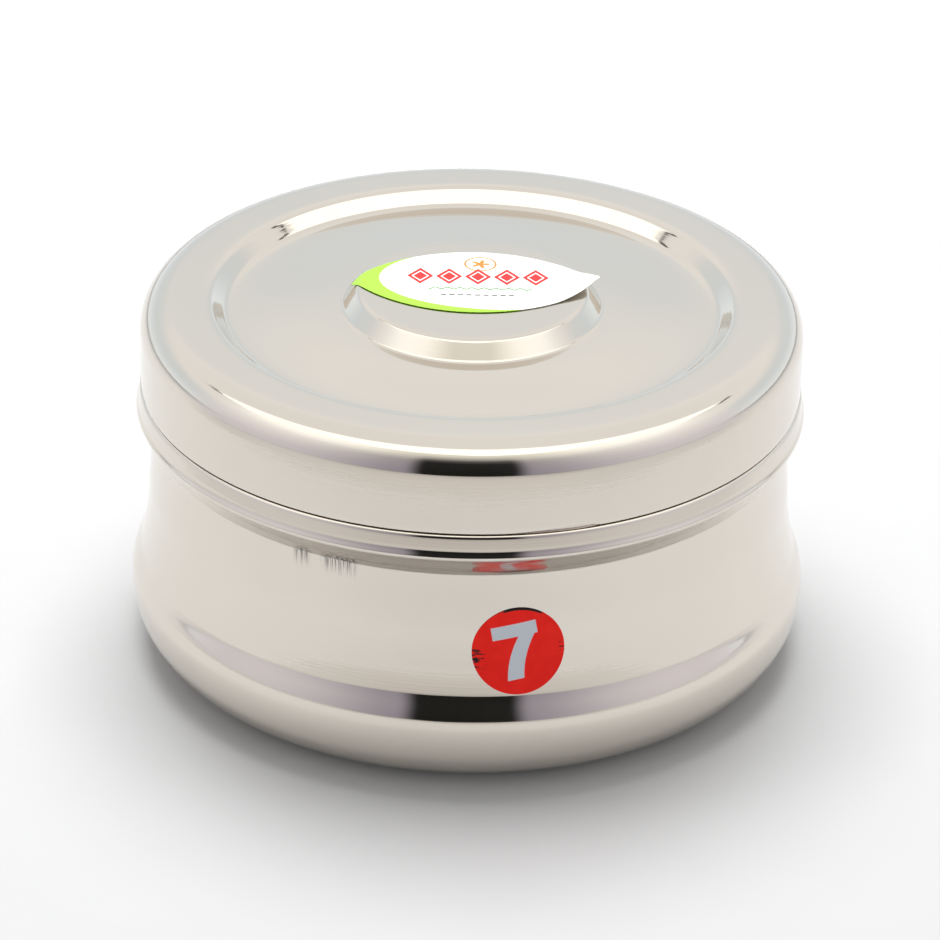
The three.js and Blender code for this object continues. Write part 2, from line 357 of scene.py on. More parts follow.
def crease_streaks(graph, where, x, y, z):
    """Fine upright grey streaks, darker and duller than the steel, in two stretches of the crease,
    left of the front.

    They are strongest at the crease and fade downwards. Places are in metres.
    """
    streaks = graph.node("ShaderNodeMapping", {
        "Vector": where, "Scale": (2400.0, 2400.0, 60.0),
    }).outputs[0]
    streak = graph.between(graph.noise(streaks, 1.0, detail=2.0), 0.40, 0.60)
    narrow = graph.inside(x, -0.0430, -0.0392, 0.0006)
    wide = graph.inside(x, -0.0358, -0.0275, 0.0010)
    across = graph.math("MAXIMUM", narrow, wide)
    below = graph.between(z, 0.0568, 0.0625)
    above = graph.between(z, 0.0635, 0.0646, 1.0, 0.0)
    level = graph.times(below, above)
    front = graph.between(y, -0.05, -0.04, 1.0, 0.0)
    stretch = graph.times(graph.times(across, level), front)
    return graph.times(stretch, graph.times(streak, STREAK_DARKNESS))


STEEL = (0.735, 0.685, 0.615)
box_steel = spun_steel("box_steel", STEEL, 0.045, 0.25, 0.06, crease_streaks)
lid_steel = spun_steel("lid_steel", STEEL, 0.05, 0.25, 0.08)
cup_steel = spun_steel("cup_steel", (0.70, 0.69, 0.67), 0.10, 0.8, 0.10)
inner_steel = spun_steel("inner_steel", (0.71, 0.69, 0.665), 0.09, 0.6, 0.10)
screw_steel = spun_steel("screw_steel", (0.60, 0.59, 0.58), 0.25, 0.8, 0.12)


# ---------------------------------------------------------------- box and outer lid

# The nick's place right of the front, and its reach to either side, in radians
NICK_BEARING = 0.34
NICK_LEFT, NICK_RIGHT = 0.22, 0.05
NICK_DEPTH, NICK_REACH = 0.9, 5
# The nick is made outside the first radius, and the sheet stays true inside the second, in metres
SKIRT_START = 0.08
TRUE_MIDDLE = 0.05
# Waves to a metre, and their height in millimetres
RIPPLE_COUNT, RIPPLE_HEIGHT = 32, 0.06
SWELL_COUNT, SWELL_HEIGHT = 11, 0.10
SWELL_SHIFT = Vector((7, 3, 1))


def dinged(point):
    """Sheet metal is never quite true: waves of up to a tenth of a millimetre."""
    ripple = noise.noise(point * RIPPLE_COUNT) * RIPPLE_HEIGHT
    swell = noise.noise(point * SWELL_COUNT + SWELL_SHIFT) * SWELL_HEIGHT
    flat = Vector((point.x, point.y, 0))
    out = flat.normalized() if flat.length > TRUE_MIDDLE else Vector((0, 0, 0))
    return point + out * (ripple + swell) * MM


def box_wall():
    """The outer wall from the middle of the base up to the collar."""
    wall = Section(0, 0)
    wall.line(60, 0, 4).line(65, 0, 4)
    wall.curve((82.5, 0), (BELLY_RADIUS, 7.3), (BELLY_RADIUS, 19.4), 40)
    wall.curve((BELLY_RADIUS, 24.1), (86.9, 26.2), (86.3, 29), 30)
    wall.curve((85.65, 32.1), (84.5, 37.5), (84.2, 44), 16)
    wall.curve((84.2, 50), (83.4, 55), (83.4, 61.6), 18)
    wall.curve((83.4, 62.2), (83.7, 62.45), (84.05, 63), 10).line(86.5, 67.1, 6)
    wall.curve((86.95, 67.75), (87.2, 68.05), (87.2, 68.6), 14)
    wall.curve((87.2, 69.3), (86.7, 69.4), (86.65, 70.8), 22)
    return wall


def box_section():
    """The box's outer face, from the middle of the base up over the ledge to the mouth."""
    section = box_wall()
    section.line(COLLAR_RADIUS, LEDGE - LEDGE_ROUND, 4)
    section.bend((COLLAR_RADIUS, LEDGE), (COLLAR_RADIUS - LEDGE_ROUND, LEDGE), 5)
    section.line(NECK_RADIUS, LEDGE, 2)
    section.line(NECK_RADIUS, MOUTH_HEIGHT - SHEET / 2, 4)
    return section.points


def lid_section():
    """The lid's upper face: boss, recess, flat rim, rounded shoulder and skirt."""
    floor, foot = LID_TOP - 4.1, LID_TOP - 2.7
    lid = Section(0, BOSS_TOP)
    lid.line(20, BOSS_TOP, 4).line(28.8, BOSS_TOP, 4)
    lid.curve((29.5, BOSS_TOP), (29.9, BOSS_TOP - 0.21), (30.3, BOSS_TOP - 0.7), 12)
    lid.line(33, foot + 0.8, 6)
    lid.curve((33.4, foot + 0.31), (33.7, foot), (34.3, foot), 12)
    lid.curve((43, foot - 0.1), (54, floor), (61.5, floor), 16)
    lid.curve((63, floor), (63.8, floor + 0.04), (64.5, floor + 0.7), 8)
    lid.line(67.4, LID_TOP - 0.6, 6)
    lid.curve((68.0, LID_TOP - 0.03), (69.2, LID_TOP), (71, LID_TOP), 12)
    lid.line(LID_RADIUS - SHOULDER, LID_TOP, 4)
    lid.bend((LID_RADIUS, LID_TOP), (LID_RADIUS, LID_TOP - SHOULDER), 26)
    lid.line(LID_RADIUS, LID_EDGE + SHEET / 2, 12)
    return lid.points


def lid_shape(point):
    """The lid's waves, and a nick in its lower edge just right of the front."""
    point = dinged(point)
    turned = math.atan2(point.y, point.x) - FRONT_FACING - NICK_BEARING
    height = (point.z / MM - LID_EDGE) / NICK_REACH
    width = NICK_RIGHT if turned > 0 else NICK_LEFT
    if abs(turned) < width and height < 1 and point.to_2d().length > SKIRT_START:
        nick = (1 - abs(turned) / width) * (1 - height) ** 2
        point.z += NICK_DEPTH * nick * MM
    return point


BOX_SEGMENTS = 256
box_body = revolve("box_shell", sheet_profile(box_section(), SHEET), box_steel, BOX_SEGMENTS,
                   shape=dinged)
fit(box_body, "box", "box_steel", "box_body")
outer_lid = revolve("lid_shell", sheet_profile(lid_section(), -SHEET), lid_steel, BOX_SEGMENTS,
                    shape=lid_shape)
fit(outer_lid, "outer_lid", "box_steel", "outer_lid")


# ---------------------------------------------------------------- paper on the wall and the lid

STICKER_RADIUS = 11.7
STICKER_HEIGHT = 41
STICKER_BEARING = math.radians(-81)
WALL_NEAR_STICKER = 84.3
LABEL_LENGTH, LABEL_WIDTH = 32.2, 17.8
LABEL_ASIDE, LABEL_BACK = 0.6, 3.4
CURL_START, CURL_HEIGHT = 20, 2.2
# The sticker's top edge has come a little unstuck, over the last fifth of its radius
UNSTUCK_LIFT, UNSTUCK_START, UNSTUCK_REACH = 0.25, 0.8, 0.2
# The leaf's blunt right tip, the tear beside it, and the edge of the boss under the left tip
TIP_HALF_WIDTH, TIP_START, TIP_BLEND = 1.3, 22, 6
TIP_ROUND_START, TIP_ROUND = 31, 1.2
TEAR_DEPTH, TEAR_PLACE, TEAR_WIDTH = 1.2, 27, 3
BOSS_FLAT_RADIUS, DROOP = 28.5, 0.16
NO_WIDTH = 0.02


def wall_radius(height):
    """Radius of the outer wall at a height above the belly."""
    points = [p for p in box_wall().points if p[1] > 1]
    for (r0, z0), (r1, z1) in zip(points, points[1:]):
        if z0 <= height <= z1:
            return r0 + (r1 - r0) * (height - z0) / (z1 - z0)
    return points[-1][0]


def paper_sheet(name, front, back, columns, rows, material):
    """A thin closed sheet between two grids of points, which are functions of (column, row)."""
    vertices = [side(i, j) for side in (front, back) for i in range(columns) for j in range(rows)]
    half = columns * rows
    faces = []
    for i in range(columns - 1):
        for j in range(rows - 1):
            a, b = i * rows + j, (i + 1) * rows + j
            faces.append((a, b, b + 1, a + 1))
            faces.append((half + a, half + a + 1, half + b + 1, half + b))
    rim = [i * rows for i in range(columns)]
    rim += [(columns - 1) * rows + j for j in range(1, rows)]
    rim += [i * rows + rows - 1 for i in range(columns - 2, -1, -1)]
    rim += list(range(rows - 2, 0, -1))
    for a, b in zip(rim, rim[1:] + rim[:1]):
        faces.append((a, half + a, half + b, b))
    return new_object(name, vertices, faces, material)


def sticker_point(i, j, steps, lift):
    """A square grid squeezed into a disc, wrapped on the wall."""
    u, v = 2 * i / steps - 1, 2 * j / steps - 1
    across = STICKER_RADIUS * u * math.sqrt(1 - v * v / 2)
    along = STICKER_RADIUS * v * math.sqrt(1 - u * u / 2)
    bearing = STICKER_BEARING + across / WALL_NEAR_STICKER
    height = STICKER_HEIGHT + along
    raised = UNSTUCK_LIFT * max(0, along / STICKER_RADIUS - UNSTUCK_START) / UNSTUCK_REACH
    radius = (wall_radius(height) + lift + raised) * MM
    return dinged(Vector((radius * math.cos(bearing), radius * math.sin(bearing), height * MM)))


def sticker_paper():
    """Glossy red paper with a plain white numeral, black along its unstuck top edge, and rubbed
    black in patches at its left and right edges.

    The numeral is a bar across the top and a bowed stroke, in millimetres from the middle.
    """
    g = Graph("sticker_paper")
    where, x, y, z = g.place()
    s = g.times(g.add(g.math("ARCTAN2", y, x), -STICKER_BEARING), WALL_NEAR_STICKER)
    t = g.add(g.times(z, 1000.0), -float(STICKER_HEIGHT))
    lean = math.radians(10)
    stroke_inner, stroke_outer = 1.94, 2.18
    across = g.add(g.times(s, math.cos(lean)), g.times(t, math.sin(lean)))
    along = g.add(g.times(s, -math.sin(lean)), g.times(t, math.cos(lean)))
    bar = g.times(g.inside(along, 3.8, 7.45, 0.12), g.inside(across, -5.9, 5.5, 0.12))
    middle = g.add(g.add(g.times(along, 0.492), 0.45), g.times(g.times(along, along), 0.024))
    from_middle = g.size(g.math("SUBTRACT", across, middle))
    stroke = g.times(g.between(from_middle, stroke_inner, stroke_outer, 1.0, 0.0),
                     g.inside(along, -7.6, 5.0, 0.12))
    numeral = g.math("MAXIMUM", bar, stroke)
    rim = g.between(g.length(s, t), 11.15, 11.3)
    top = g.times(rim, g.inside(g.math("ARCTAN2", t, s), 1.05, 1.92, 0.05))
    rub = g.node("ShaderNodeMapping", {
        "Vector": where, "Scale": (260.0, 260.0, 1500.0),
    }).outputs[0]
    rubbed = g.between(g.noise(rub, 1.0, detail=3.0), 0.50, 0.58)
    left = g.times(g.between(s, -8.6, -7.6, 1.0, 0.0), g.inside(t, -4.5, 0.5, 0.4))
    right = g.times(g.between(s, 10.1, 10.6), g.inside(t, -1.0, 2.5, 0.3))
    dark = g.math("MAXIMUM", top, g.times(g.math("MAXIMUM", left, right), rubbed))
    blotch = g.between(g.noise(where, 260.0, detail=4.0), 0.35, 0.7)
    red = g.mix(blotch, (0.86, 0.012, 0.006, 1), (0.92, 0.016, 0.009, 1))
    colour = g.mix(numeral, red, (0.578, 0.61, 0.66, 1))
    colour = g.mix(dark, colour, (0.012, 0.011, 0.011, 1))
    fibre = g.noise(where, 2200.0, detail=3.0)
    return g.set(Base_Color=colour, Roughness=g.add(g.times(blotch, 0.12), 0.28),
                 Normal=g.bump(fibre, 0.00002, 0.3), Specular_IOR_Level=0.12)


def label_half_width(x):
    """Half the leaf's width, x from its middle: two arcs, with a blunt right tip."""
    radius = (LABEL_LENGTH ** 2 + LABEL_WIDTH ** 2) / (2 * LABEL_WIDTH)
    leaf = math.sqrt(radius ** 2 - x * x) - (radius - LABEL_WIDTH)
    past_end = max(0, (x - TIP_ROUND_START) / TIP_ROUND)
    blunt = TIP_HALF_WIDTH * max(0, min(1, (x - TIP_START) / TIP_BLEND))
    blunt *= math.sqrt(max(0, 1 - past_end ** 2))
    return max(leaf, blunt, NO_WIDTH)


def label_point(i, j, columns, rows, lift):
    """The leaf lies on the boss; its left tip droops over the edge and its right tip curls up."""
    turn = math.pi * i / (columns - 1)
    x = -LABEL_LENGTH * math.cos(turn)
    across = 2 * j / (rows - 1) - 1
    tear = TEAR_DEPTH * math.exp(-((x - TEAR_PLACE) / TEAR_WIDTH) ** 2) if across > 0 else 0
    half = max(label_half_width(x) - tear, NO_WIDTH)
    place = Vector((x + LABEL_ASIDE, across * half + LABEL_BACK, BOSS_TOP + lift))
    beyond = max(0, place.to_2d().length - BOSS_FLAT_RADIUS)
    curl = max(0, x - CURL_START) / (LABEL_LENGTH - CURL_START)
    place.z += CURL_HEIGHT * curl ** 1.7 if x > 0 else -DROOP * beyond ** 2
    return place * MM


def label_paper():
    """White and green paper with a plain ornament: a ring, a row of lozenges, a wave, dashes."""
    g = Graph("label_paper")
    where, x, y, _ = g.place()
    s = g.add(g.times(x, 1000.0), -LABEL_ASIDE)
    t = g.add(g.times(y, 1000.0), -LABEL_BACK)
    oval = g.length(g.math("DIVIDE", g.add(s, -7.0), 32.0), g.math("DIVIDE", g.add(t, -1.8), 18.0))
    speckle = g.noise(where, 500.0, detail=3.0)
    white = g.mix(speckle, (0.84, 0.85, 0.80, 1), (0.90, 0.90, 0.86, 1))
    colour = g.mix(g.between(oval, 0.985, 1.005), white, (0.35, 0.64, 0.045, 1))
    ring_radius = 4.0
    ring_x, ring_y = g.add(s, -1.3), g.add(t, -10.7)
    out = g.length(ring_x, ring_y)
    ring = g.between(g.size(g.add(out, -ring_radius)), 0.2, 0.32, 1.0, 0.0)
    petals = g.math("COSINE", g.times(g.math("ARCTAN2", ring_y, ring_x), 5.0))
    petal_edge = g.add(g.times(petals, 0.8), 1.7)
    flower = g.between(g.math("SUBTRACT", out, petal_edge), -0.1, 0.1, 1.0, 0.0)
    colour = g.mix(g.math("MAXIMUM", ring, flower), colour, (0.80, 0.22, 0.02, 1))
    pitch, half_width, half_height = 7.5, 3.5, 4.75
    cell = g.math("FRACT", g.math("DIVIDE", g.add(s, 18.0), pitch))
    side = g.times(g.size(g.add(cell, -0.5)), pitch / half_width)
    reach = g.add(side, g.math("DIVIDE", g.size(g.add(t, -3.1)), half_height))
    row = g.inside(s, -18.0, 19.5, 0.1)
    lozenge = g.times(g.between(reach, 0.96, 1.02, 1.0, 0.0), row)
    line = g.inside(reach, 0.52, 0.66, 0.02)
    red = g.mix(line, (0.70, 0.012, 0.012, 1), (0.88, 0.86, 0.82, 1))
    colour = g.mix(lozenge, colour, red)
    wave = g.add(g.add(t, 4.0), g.times(g.math("SINE", g.times(s, 2.0)), 0.45))
    green = g.times(g.between(g.size(wave), 0.22, 0.36, 1.0, 0.0), g.inside(s, -12.0, 15.0, 0.2))
    colour = g.mix(green, colour, (0.06, 0.25, 0.03, 1))
    dash = g.times(g.between(g.math("FRACT", g.math("DIVIDE", s, 2.2)), 0.6, 0.68, 1.0, 0.0),
                   g.between(g.size(g.add(t, 7.8)), 0.28, 0.42, 1.0, 0.0))
    colour = g.mix(g.times(dash, g.inside(s, -9.0, 11.0, 0.2)), colour, (0.09, 0.09, 0.09, 1))
    fibre = g.noise(where, 2600.0, detail=3.0)
    return g.set(Base_Color=colour, Roughness=g.add(g.times(speckle, 0.12), 0.34),
                 Normal=g.bump(fibre, 0.00002, 0.25))


# How far each paper's face and back stand off the steel, in millimetres
STICKER_FACE, STICKER_BACK = 0.15, 0.04
LABEL_FACE, LABEL_UNDERSIDE = 0.30, 0.16
DISC_STEPS = 40
sticker = paper_sheet("red_sticker",
                      lambda i, j: sticker_point(i, j, DISC_STEPS, STICKER_FACE),
                      lambda i, j: sticker_point(i, j, DISC_STEPS, STICKER_BACK),
                      DISC_STEPS + 1, DISC_STEPS + 1, sticker_paper())
fit(sticker, "box", "red_sticker", "size_sticker")
LEAF_COLUMNS, LEAF_ROWS = 72, 25
label = paper_sheet("leaf_label",
                    lambda i, j: label_point(i, j, LEAF_COLUMNS, LEAF_ROWS, LABEL_FACE),
                    lambda i, j: label_point(i, j, LEAF_COLUMNS, LEAF_ROWS, LABEL_UNDERSIDE),
                    LEAF_COLUMNS, LEAF_ROWS, label_paper())
fit(label, "outer_lid", "white_label", "lid_label")


# ---------------------------------------------------------------- what is inside

PANEL_TOP = FLANGE_TOP - 2
BORE_RADIUS = 2.3
FLANGE_START = 77.8
EDGE_EASE = 0.3
RAISED_RINGS = ((23, 27), (69.5, 72.5))
RING_RISE = 0.45
# Each cup is turned by this much more than the last, so that no two show the same marks
CUP_TURN = 1.3


def cup_section():
    """The cup's outer face, from the middle of its dimpled base up to its flared rim."""
    cup = Section(0, 0.5)
    cup.line(9, 0.5, 4).curve((10.2, 0.5), (10.3, 0), (11.5, 0), 6).line(18.2, 0, 4)
    cup.bend((25.2, 0), (25.2, 7), 14).line(25.6, 57.4, 16)
    cup.curve((25.6, 58.3), (CUP_RIM_RADIUS, 58.6), (CUP_RIM_RADIUS, 59.6), 6)
    return cup.points


def seven_cups():
    """The middle cup and the six round it, each where its CAD node stands."""
    for i, name in enumerate(CUP_NAMES):
        cup = revolve(f"{name}_shell", sheet_profile(cup_section(), CUP_SHEET), cup_steel, 96)
        low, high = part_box(name)
        cup.location = ((low.x + high.x) / 2, (low.y + high.y) / 2, low.z)
        cup.rotation_euler.z = CUP_TURN * i
        fit(cup, name, "cup_steel", name)


def inner_lid_section():
    """The top face, from the screw's hole to the flange, with two raised rings."""
    lid = Section(BORE_RADIUS, PANEL_TOP)
    lid.line(RAISED_RINGS[0][0], PANEL_TOP, 6)
    crest = PANEL_TOP + RING_RISE
    for start, end in RAISED_RINGS:
        lid.line(start, PANEL_TOP, 12)
        middle = (start + end) / 2
        lid.curve((start + 0.8, PANEL_TOP), (middle - 0.8, crest), (middle, crest), 6)
        lid.curve((middle + 0.8, crest), (end - 0.8, PANEL_TOP), (end, PANEL_TOP), 6)
    lid.line(74.3, PANEL_TOP, 2)
    lid.curve((75.6, PANEL_TOP), (76.6, FLANGE_TOP), (FLANGE_START, FLANGE_TOP), 10)
    lid.line(INNER_LID_RADIUS - EDGE_EASE - SHEET / 2, FLANGE_TOP, 6)
    return sheet_profile(lid.points, -SHEET)


def knob_section():
    """The knob's outline: a blind bore, a round foot, a waist and a domed top."""
    foot, top = KNOB_FOOT, KNOB_TOP
    knob = Section(0, foot + 7)
    knob.line(BORE_RADIUS, foot + 7, 2).line(BORE_RADIUS, foot, 6).line(6.2, foot, 3)
    knob.bend((6.5, foot), (6.5, foot + 0.3), 3).line(6.5, foot + 0.9, 2)
    knob.curve((4.7, foot + 1.5), (4.0, foot + 3.2), (4.6, foot + 4.6), 14)
    knob.curve((5.2, foot + 6.2), (8.2, foot + 6.9), (9.0, foot + 8.1), 14)
    knob.curve((9.4, foot + 8.7), (9.4, foot + 9.5), (9.0, foot + 9.9), 10)
    knob.curve((8.8, foot + 10.1), (8.6, foot + 9.9), (8.3, foot + 10.2), 6)
    knob.curve((6.6, foot + 12.0), (3.4, top), (0, top), 20)
    return knob.points


HEAD_TOP = SCREW_LOW + 1.2
SHANK_RADIUS = 2
THREAD_PITCH, THREAD_DEPTH = 0.7, 0.28
THREAD_INSIDE, THREAD_OUTSIDE, THREAD_START = 1.5, 2.1, HEAD_TOP + 0.5


def threaded(point):
    """A helical thread on the shank above the screw's head."""
    radius = point.to_2d().length
    height = point.z / MM
    if radius < THREAD_INSIDE * MM or radius > THREAD_OUTSIDE * MM or height < THREAD_START:
        return point
    phase = height / THREAD_PITCH - math.atan2(point.y, point.x) / (2 * math.pi)
    groove = THREAD_DEPTH * abs(2 * (phase % 1) - 1)
    scale = 1 - groove * MM / radius
    return Vector((point.x * scale, point.y * scale, point.z))


def screw_section():
    """The screw's outline: a pan head at the bottom and a shank with a bevelled end."""
    screw = Section(0, SCREW_LOW)
    screw.line(2.9, SCREW_LOW, 3).bend((SCREW_HEAD_RADIUS, SCREW_LOW),
                                       (SCREW_HEAD_RADIUS, SCREW_LOW + 0.7), 6)
    screw.line(SCREW_HEAD_RADIUS, HEAD_TOP, 2).line(SHANK_RADIUS, HEAD_TOP, 3)
    screw.line(SHANK_RADIUS, SCREW_HIGH - 0.5, 84)
    screw.line(1.4, SCREW_HIGH, 2).line(0, SCREW_HIGH, 2)
    return screw.points


def baked(piece):
    """Applies a piece's modifiers to its mesh."""
    graph = bpy.context.evaluated_depsgraph_get()
    shaped = bpy.data.meshes.new_from_object(piece.evaluated_get(graph))
    piece.modifiers.clear()
    piece.data = shaped
    shaped.polygons.foreach_set("use_smooth", [True] * len(shaped.polygons))
    shaped.set_sharp_from_angle(angle=SHARP_ANGLE)


def cut_slot(piece):
    """A straight driver slot across the underside of the screw's head."""
    half_slot, slot_depth = 0.5, 0.55
    half = Vector((SCREW_HEAD_RADIUS + 1, half_slot, slot_depth)) * MM
    signs = [(sx, sy, sz) for sx in (-1, 1) for sy in (-1, 1) for sz in (-1, 1)]
    corners = [(sx * half.x, sy * half.y, SCREW_LOW * MM + sz * half.z) for sx, sy, sz in signs]
    sides = [(0, 1, 3, 2), (4, 6, 7, 5), (0, 4, 5, 1), (2, 3, 7, 6), (0, 2, 6, 4), (1, 5, 7, 3)]
    tool = new_object("slot_tool", corners, sides, screw_steel)
    cut = piece.modifiers.new("slot", "BOOLEAN")
    cut.operation = "DIFFERENCE"
    cut.solver = "EXACT"
    cut.object = tool
    baked(piece)
    bpy.data.objects.remove(tool)


BOWL_X, BOWL_HALF_LENGTH, BOWL_HALF_WIDTH, BOWL_DEPTH = -32, 15, 11.5, 5.4
HANDLE_START, HANDLE_END, HANDLE_ROUND = BOWL_X + 14, 48, 3
HANDLE_HALF_WIDTH, HANDLE_FLARE = 2.3, 0.7
HANDLE_ARCH, HANDLE_DROP, HANDLE_CROWN = 6, 5.5, 0.25
SPOON_SHEET = 0.9
SPOON_OFF_LID = 0.2


def spoon_point(i, j, columns, rows):
    """The spoon's upper face, from the tip of the bowl to the end of the handle."""
    turn = math.pi * i / (columns - 1)
    low, high = BOWL_X - BOWL_HALF_LENGTH, HANDLE_END
    x = (low + high) / 2 - (high - low) / 2 * math.cos(turn)
    from_bowl = (x - BOWL_X) / BOWL_HALF_LENGTH
    bowl = BOWL_HALF_WIDTH * math.sqrt(max(0, 1 - from_bowl ** 2))
    run = max(0, (x - HANDLE_START) / (HANDLE_END - HANDLE_START))
    handle = (HANDLE_HALF_WIDTH + HANDLE_FLARE * run) * max(0, min(1, (x - BOWL_X) / 12)) ** 2
    past_end = max(0, (x - HANDLE_END + HANDLE_ROUND) / HANDLE_ROUND)
    handle *= math.sqrt(max(0, 1 - past_end ** 2))
    half = max((bowl ** 4 + handle ** 4) ** 0.25, 0.05)
    y = half * (2 * j / (rows - 1) - 1)
    inside = max(0, 1 - from_bowl ** 2 - (y / BOWL_HALF_WIDTH) ** 2)
    arch = HANDLE_ARCH * run * (1 - run) - HANDLE_DROP * run ** 2
    crown = HANDLE_CROWN * (1 - (y / half) ** 2) * min(1, 8 * run)
    z = arch + crown - BOWL_DEPTH * inside ** 0.75
    return ((x - BOWL_X) * MM, y * MM, z * MM)


def spoon_piece():
    """A small pressed spoon that lies on the inner lid."""
    columns, rows = 96, 19
    vertices = [spoon_point(i, j, columns, rows) for i in range(columns) for j in range(rows)]
    faces = [(i * rows + j, (i + 1) * rows + j, (i + 1) * rows + j + 1, i * rows + j + 1)
             for i in range(columns - 1) for j in range(rows - 1)]
    spoon = new_object("spoon_blade", vertices, faces, inner_steel)
    thick = spoon.modifiers.new("thick", "SOLIDIFY")
    thick.thickness = SPOON_SHEET * MM
    thick.offset = -1 if spoon.data.polygons[len(faces) // 2].normal.z > 0 else 1
    baked(spoon)
    low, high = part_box("spoon")
    rise = (BOWL_DEPTH + SPOON_SHEET + SPOON_OFF_LID) * MM
    spoon.location = (BOWL_X * MM, (low.y + high.y) / 2, low.z + rise)
    return spoon


seven_cups()
inner_lid = revolve("inner_lid_plate", inner_lid_section(), inner_steel, 192, loop=True)
fit(inner_lid, "inner_lid", "inner_steel", "inner_lid")
knob = revolve("knob_turned", knob_section(), inner_steel, 72)
fit(knob, "inner_lid", "inner_steel", "inner_lid_knob")
screw = revolve("screw_turned", screw_section(), screw_steel, 48, shape=threaded)
cut_slot(screw)
fit(screw, "inner_lid", "screw_steel", "knob_screw")
fit(spoon_piece(), "spoon", "inner_steel", "spoon")


# ---------------------------------------------------------------- floor, light and camera

def set_stops(ramp, stops):
    """Fills a colour ramp with (position, colour) stops."""
    elements = ramp.color_ramp.elements
    while len(elements) < len(stops):
        elements.new(0.5)
    for element, (position, colour) in zip(elements, stops):
        element.position = position
        element.color = (*colour, 1)


# Height of the box's middle, in metres, which the cards are drawn round and the camera aims at
BOX_MIDDLE = 0.047
# A swept card fades into the sky where its place to the back, over its distance, has these values
CARD_FADE = (-0.25, 0.24)


def glow(name, middle, sides, strength, along="height", turn=(0.27, 0.98)):
    """Light that changes with height or distance, from middle's stops to sides' stops.

    The change to the sides starts and ends where the sine of the bearing has turn's values.
    """
    graph = Graph(name)
    _, x, y, z = graph.place()
    reach = graph.length(x, y)
    ramps = []
    for stops in (middle, sides):
        ramp = graph.node("ShaderNodeValToRGB", {"Fac": z if along == "height" else reach})
        set_stops(ramp, stops)
        ramps.append(ramp.outputs[0])
    aside = graph.math("DIVIDE", graph.math("ABSOLUTE", x), reach)
    colour = graph.mix(graph.between(aside, *turn), *ramps)
    light = graph.node("ShaderNodeEmission", {"Color": colour, "Strength": strength})
    clear = graph.node("ShaderNodeBsdfTransparent")
    fade = graph.between(graph.math("DIVIDE", y, reach), *CARD_FADE)
    return graph.shine(graph.node("ShaderNodeMixShader",
                                  {0: fade, 1: light.outputs[0], 2: clear.outputs[0]}))


def card(name, vertices, faces, material):
    """A panel that only the steel's reflections see."""
    obj = new_object(name, vertices, faces, material)
    for ray in ("camera", "diffuse", "shadow", "transmission", "volume_scatter"):
        setattr(obj, f"visible_{ray}", False)
    return obj


def swept_card(name, half_angle, inner, outer, material, columns=48):
    """A card swept round the camera's side, between two (distance, height) edges."""
    vertices, faces = [], []
    for i in range(columns + 1):
        bearing = -half_angle + 2 * half_angle * i / columns
        for distance, height in (inner, outer):
            vertices.append((distance * math.sin(bearing), -distance * math.cos(bearing), height))
    for i in range(columns):
        faces.append((2 * i, 2 * i + 2, 2 * i + 3, 2 * i + 1))
    return card(name, vertices, faces, material)


def soft_box():
    """The large panel overhead, with a hollow far side and a dark clip at each far corner.

    Its places are shares of its height above the table.
    """
    height, half, near_edge, columns = 1.1, 0.985, -0.78, 24
    hollow_middle, hollow_bow = -0.19, 0.72
    clip_inwards, clip_outwards, clip_near, clip_far = 0.03, 0.06, 0.11, 0.04

    def far_side(x):
        return hollow_middle + hollow_bow * x * x

    vertices, faces = [], []
    for i in range(columns + 1):
        x = half * (2 * i / columns - 1)
        vertices += [(x * height, near_edge * height, height),
                     (x * height, far_side(x) * height, height)]
    for i in range(columns):
        faces.append((2 * i, 2 * i + 2, 2 * i + 3, 2 * i + 1))
    card("soft_box", vertices, faces, plain_glow("soft_box_glow", WHITE, BRIGHT))
    black = plain_glow("clip_dark", (0.01, 0.01, 0.01), 1.0)
    for name, end in (("clip_left", -1), ("clip_right", 1)):
        x0, x1 = end * (half - clip_inwards) * height, end * (half + clip_outwards) * height
        y0 = (far_side(half) - clip_near) * height
        y1 = (far_side(half) + clip_far) * height
        corners = [(x0, y0, height), (x1, y0, height), (x1, y1, height), (x0, y1, height)]
        card(name, corners, [(0, 1, 2, 3)], black)


def plain_glow(name, colour, strength):
    """Light of one colour and strength."""
    graph = Graph(name)
    settings = {"Color": (*colour, 1), "Strength": strength}
    return graph.shine(graph.node("ShaderNodeEmission", settings))


def rise_to(elevation, distance):
    """Height at which a wall at that distance shows this elevation, in degrees, to the box."""
    return BOX_MIDDLE + distance * math.tan(math.radians(elevation))


def wall_stops(distance, levels):
    """Turns (elevation, colour) levels into (height, colour) stops for a wall at that distance."""
    return [(rise_to(elevation, distance), colour) for elevation, colour in levels]


BRIGHT = 1.75
WHITE = (1.0, 0.985, 0.94)
WALL_DISTANCE = 0.45
GAP_DISTANCE = 0.42
FLOOR_CARD_START = 0.24
# The cards' top, in degrees as the box sees it, and how far each is swept to either side
CARD_TOP = 56
WALL_SWEEP = math.radians(105)
GAP_SWEEP = math.radians(19.5)
# Sines of the bearing between which the dark gap gives way to the room beside it
GAP_EDGE = (0.225, 0.333)
# Each card keeps just off the table, and off the others
WALL_FOOT, GAP_FOOT, TABLE_SHADE_HEIGHT = 0.001, 0.002, 0.0015

